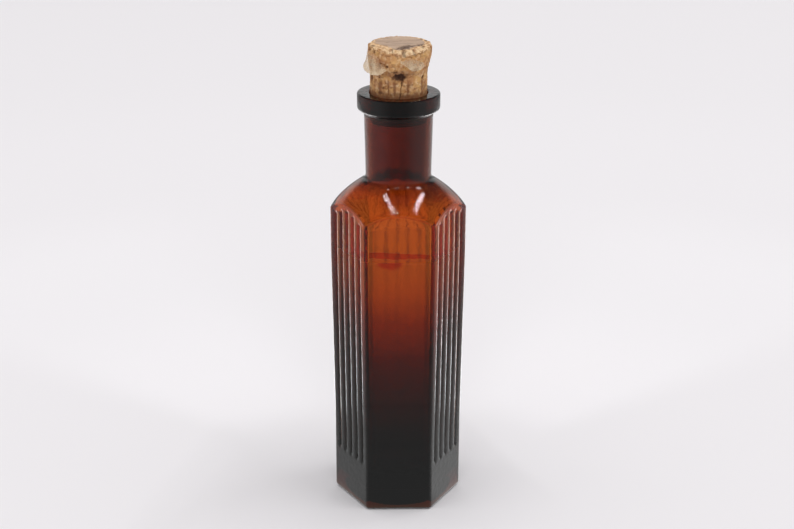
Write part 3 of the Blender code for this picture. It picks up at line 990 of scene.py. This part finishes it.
def cork_top(turn, radius, rim_outward, rim_drop):
    """The same for a point of its top, which meets the side's torn rim."""
    angle = math.radians(turn)
    reach = radius / millimetre
    point = Vector((reach * math.cos(angle), reach * math.sin(angle), cork_top_height / millimetre))
    ragged = grain_noise(point, 1.3, 3, seed=12)
    crust = 1 - ease(-0.25, 0.25, reach - along_turn(crust_edge, turn) - 0.9 * ragged)
    torn = (1 - crust) * ease(4.0, 5.0, reach)
    pit = 0.0
    for (ax, ay), (bx, by), half in top_cracks:
        gap = segment_distance(point.x, point.y, ax, ay, bx, by) / half + 0.6 * ragged
        pit = max(pit, 0.85 * (1 - ease(0.25, 1.20, gap)))
    crumbs, gap_shade = crumbling(point, torn)
    rise = 0.06 * grain_noise(Vector((point.x * 0.25, point.y * 1.3, 0)), 1.0, 2, seed=31)
    rise += torn * (0.35 * crumbs - 0.16) - 0.30 * pit + 0.05 * ragged
    share = ease(6.8, 9.1, reach)
    rise = min(rise, 0.13) * (1 - share) - rim_drop * share
    return rim_outward * share, -rise, (max(pit, gap_shade), torn, crust, 0.0)


form = bmesh.new()
marks = {key: form.verts.layers.float.new(key) for key in ("pit", "torn", "crust", "stain_and_shade")}
rings = [(cork_end_radius * share, cork_end_height, False) for share in (0.25, 0.5, 0.75, 0.92)]
rings += [(cork_end_edge_radius, cork_end_height + 0.0002, False)]
heights = [0.1181, 0.1195, 0.1210, 0.1225, 0.1240, 0.1250, 0.1255]
close_from, close_to, close_rings, top_rings = 0.1258, cork_top_height - 0.0002, 68, 36
heights += [close_from + (close_to - close_from) * i / close_rings for i in range(close_rings + 1)]
rings += [(cork_radius_at(height), height, False) for height in heights]
rim_radius = cork_head_radius - 0.0001
rings += [(rim_radius * (1 - i / top_rings), cork_top_height, True) for i in range(top_rings)]
rows = []
turns = [i * 360 / cork_columns - 180 for i in range(cork_columns)]
rims = [cork_side(turn, cork_head_radius, cork_top_height - 0.0001)[:2] for turn in turns]
for radius, height, on_top in rings:
    ring = []
    for turn, rim in zip(turns, rims):
        if on_top:
            outward, drop, values = cork_top(turn, radius, *rim)
        else:
            outward, drop, values = cork_side(turn, radius, height)
            outward *= 0.25 + 0.75 * ease(0.1254, 0.1266, height)
        out = max(radius + outward * millimetre, 0)
        angle = math.radians(turn)
        vert = form.verts.new(on_cork(out, angle, height - drop * millimetre))
        for layer, value in zip(marks.values(), values):
            vert[layer] = min(max(value, 0.0), 1.0)
        ring.append(vert)
    rows.append(ring)
for lower, upper in zip(rows, rows[1:]):
    for i in range(cork_columns):
        form.faces.new((lower[i - 1], lower[i], upper[i], upper[i - 1]))
for ring, height, crust in ((rows[0][::-1], cork_end_height, 0.0), (rows[-1], cork_top_height, 1.0)):
    pole = form.verts.new(on_cork(0.0, 0.0, height))
    pole[marks["crust"]] = crust
    for here, there in zip(ring, ring[1:] + ring[:1]):
        form.faces.new((pole, here, there))

cork_bark, tree, shader = new_material("cork_bark", {"Roughness": 0.88, "Specular IOR Level": 0.25})
coordinates, (x, y, z) = object_axes(tree)
grains = speckled(coordinates, 900, 3.0, spread=2.4)
clouds = speckled(coordinates, 260, spread=2.6)
fibres = speckled(coordinates, 1500, 2.0, (1, 1, 0.14))
pale_grain = speckled(coordinates, 380, 2.0, (1, 1, 1.3), 5.0)
dark_grain = speckled(coordinates, 300, 3.0, (1, 1, 1.6), 5.0)
flecks = speckled(coordinates, 620, 3.0, (1, 1, 1.5), 5.0)
top_grain = speckled(coordinates, 700, 2.0, (0.18, 1, 1))
pit, torn, crust, stain_and_shade = (mark_on(tree, name) for name in ("pit", "torn", "crust", "stain_and_shade"))
crumb_colour = blended(grains, (0.58, 0.32, 0.14), (0.98, 0.74, 0.46))
crumb_colour = blended((flecks - 0.55).clamped() * 1.4, crumb_colour, (0.34, 0.13, 0.05))
crust_colour = blended(top_grain, (0.40, 0.275, 0.20), (0.66, 0.48, 0.34))
crust_colour = blended(clouds * 0.3, crust_colour, (0.30, 0.225, 0.19))
body = layered(
    blended(clouds, (0.36, 0.140, 0.044), (0.79, 0.465, 0.185)),
    (pale_grain * 0.45, (0.80, 0.52, 0.195)),
    (dark_grain * 0.50, (0.50, 0.228, 0.112)),
    (fibres * 0.3, (0.40, 0.17, 0.065)),
    ((grains - 0.45).clamped() * 0.9, (0.92, 0.68, 0.42)),
    ((flecks - 0.66).clamped() * 1.4, (0.20, 0.075, 0.030)),
    # The stain mark holds stains and pore halos, and also painted shadow round the waist and under the
    # torn rim's ledge
    (stain_and_shade * 0.75, (0.19, 0.068, 0.026)),
    (torn, crumb_colour),
    (crust, crust_colour),
    # Pores and cracks are dark, and the hollows between crumbs get painted shade through the same mark
    ((pit * 1.05 - grains * 0.25).clamped(), (0.055, 0.022, 0.013)),
)
body.into(shader.inputs["Base Color"])
bumped(shader, grains * 0.7 + fibres * 0.3, 0.5, 0.0003)

weathered_cork = object_of("weathered_cork", form, cork_bark)
weathered_cork.data.shade_smooth()
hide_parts("cork")
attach(weathered_cork, "stopper")


# Skin scraps
# Torn remains of the thin dried skin that was tied over the cork to seal it. They cling to the
# cork's side, lift off it at their lower edges, and are whitish and half see-through.
skin_film = 0.00014


def torn_skin(name, start, end, low_edge, high_edge, stand, flare, thick, fade, seed):
    """A crinkled scrap between two torn edges, given as (degrees, height in mm) points."""
    form = bmesh.new()
    loose = form.verts.layers.float.new("loose")
    columns, rows_up = 72, 30
    film = skin_film / millimetre
    grid = {}
    for i in range(columns + 1):
        turn = start + (end - start) * i / columns
        arc = turn * 0.16
        low = along_turn(low_edge, turn) + 0.3 * grain_noise(Vector((arc, seed, 0)), 0.8, 3)
        high = along_turn(high_edge, turn) + 0.5 * grain_noise(Vector((arc, seed, 9)), 0.9, 3)
        for j in range(rows_up + 1):
            share = j / rows_up
            level = low + (high - low) * share
            lift = flare * (1 - share) ** 2.2
            crease = grain_noise(Vector((arc, level, seed)), 0.7, 3) * 0.16 * (1.2 - share)
            radius = cork_radius_at(level * millimetre) / millimetre + stand + lift + crease
            angle = math.radians(turn + 0.8 * grain_noise(Vector((turn * 0.2, level, seed)), 1.1))
            for side, depth in enumerate((0.0, film)):
                place = on_cork((radius + depth) * millimetre, angle, level * millimetre)
                grid[i, j, side] = form.verts.new(place)
                grid[i, j, side][loose] = thick * ease(0.0, 1.0, (1 - share) * fade + (1 - fade))
    for i in range(columns):
        for j in range(rows_up):
            corners = ((i, j), (i + 1, j), (i + 1, j + 1), (i, j + 1))
            form.faces.new([grid[a, b, 1] for a, b in corners])
            form.faces.new([grid[a, b, 0] for a, b in reversed(corners)])
    border = [(i, 0) for i in range(columns)] + [(columns, j) for j in range(rows_up)]
    border += [(i, rows_up) for i in range(columns, 0, -1)] + [(0, j) for j in range(rows_up, 0, -1)]
    for here, there in zip(border, border[1:] + border[:1]):
        form.faces.new([grid[(*p, s)] for p, s in ((here, 0), (there, 0), (there, 1), (here, 1))])
    scrap = object_of(name, form, dried_skin)
    scrap.data.shade_smooth()
    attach(scrap, "stopper")
    return scrap


dried_skin, tree, shader = new_material("dried_skin", {"Roughness": 0.42})
coordinates, (x, y, z) = object_axes(tree)
patches = speckled(coordinates, 520, 3.0)
blended(patches, (0.72, 0.50, 0.29), (0.95, 0.79, 0.55)).into(shader.inputs["Base Color"])
((patches * 0.5 + 0.36) * mark_on(tree, "loose")).into(shader.inputs["Alpha"])
bumped(shader, patches, 0.35, 0.0003)

left_low = [(-196, 133.7), (-184, 133.2), (-168, 132.9), (-150, 132.5), (-138, 132.4)]
left_low += [(-125, 132.8), (-113, 133.9)]
left_high = [(-196, 137.0), (-180, 138.2), (-160, 138.6), (-140, 138.0), (-126, 136.0)]
left_high += [(-117, 134.9), (-113, 134.4)]
skin_left = torn_skin(
    "torn_skin_left", -194, -113, left_low, left_high,
    stand=0.14, flare=1.30, thick=1.0, fade=0.8, seed=2.0,
)
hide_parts("skin_left")
front_low = [(-92, 136.6), (-84, 135.9), (-72, 134.4), (-60, 133.7), (-48, 134.0), (-38, 134.6)]
front_high = [(-92, 137.2), (-84, 137.2), (-72, 137.4), (-60, 137.0), (-48, 136.4), (-38, 135.2)]
skin_front = torn_skin(
    "torn_skin_front", -90, -38, front_low, front_high,
    stand=0.10, flare=0.12, thick=0.75, fade=0.6, seed=6.0,
)
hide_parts("skin_front")
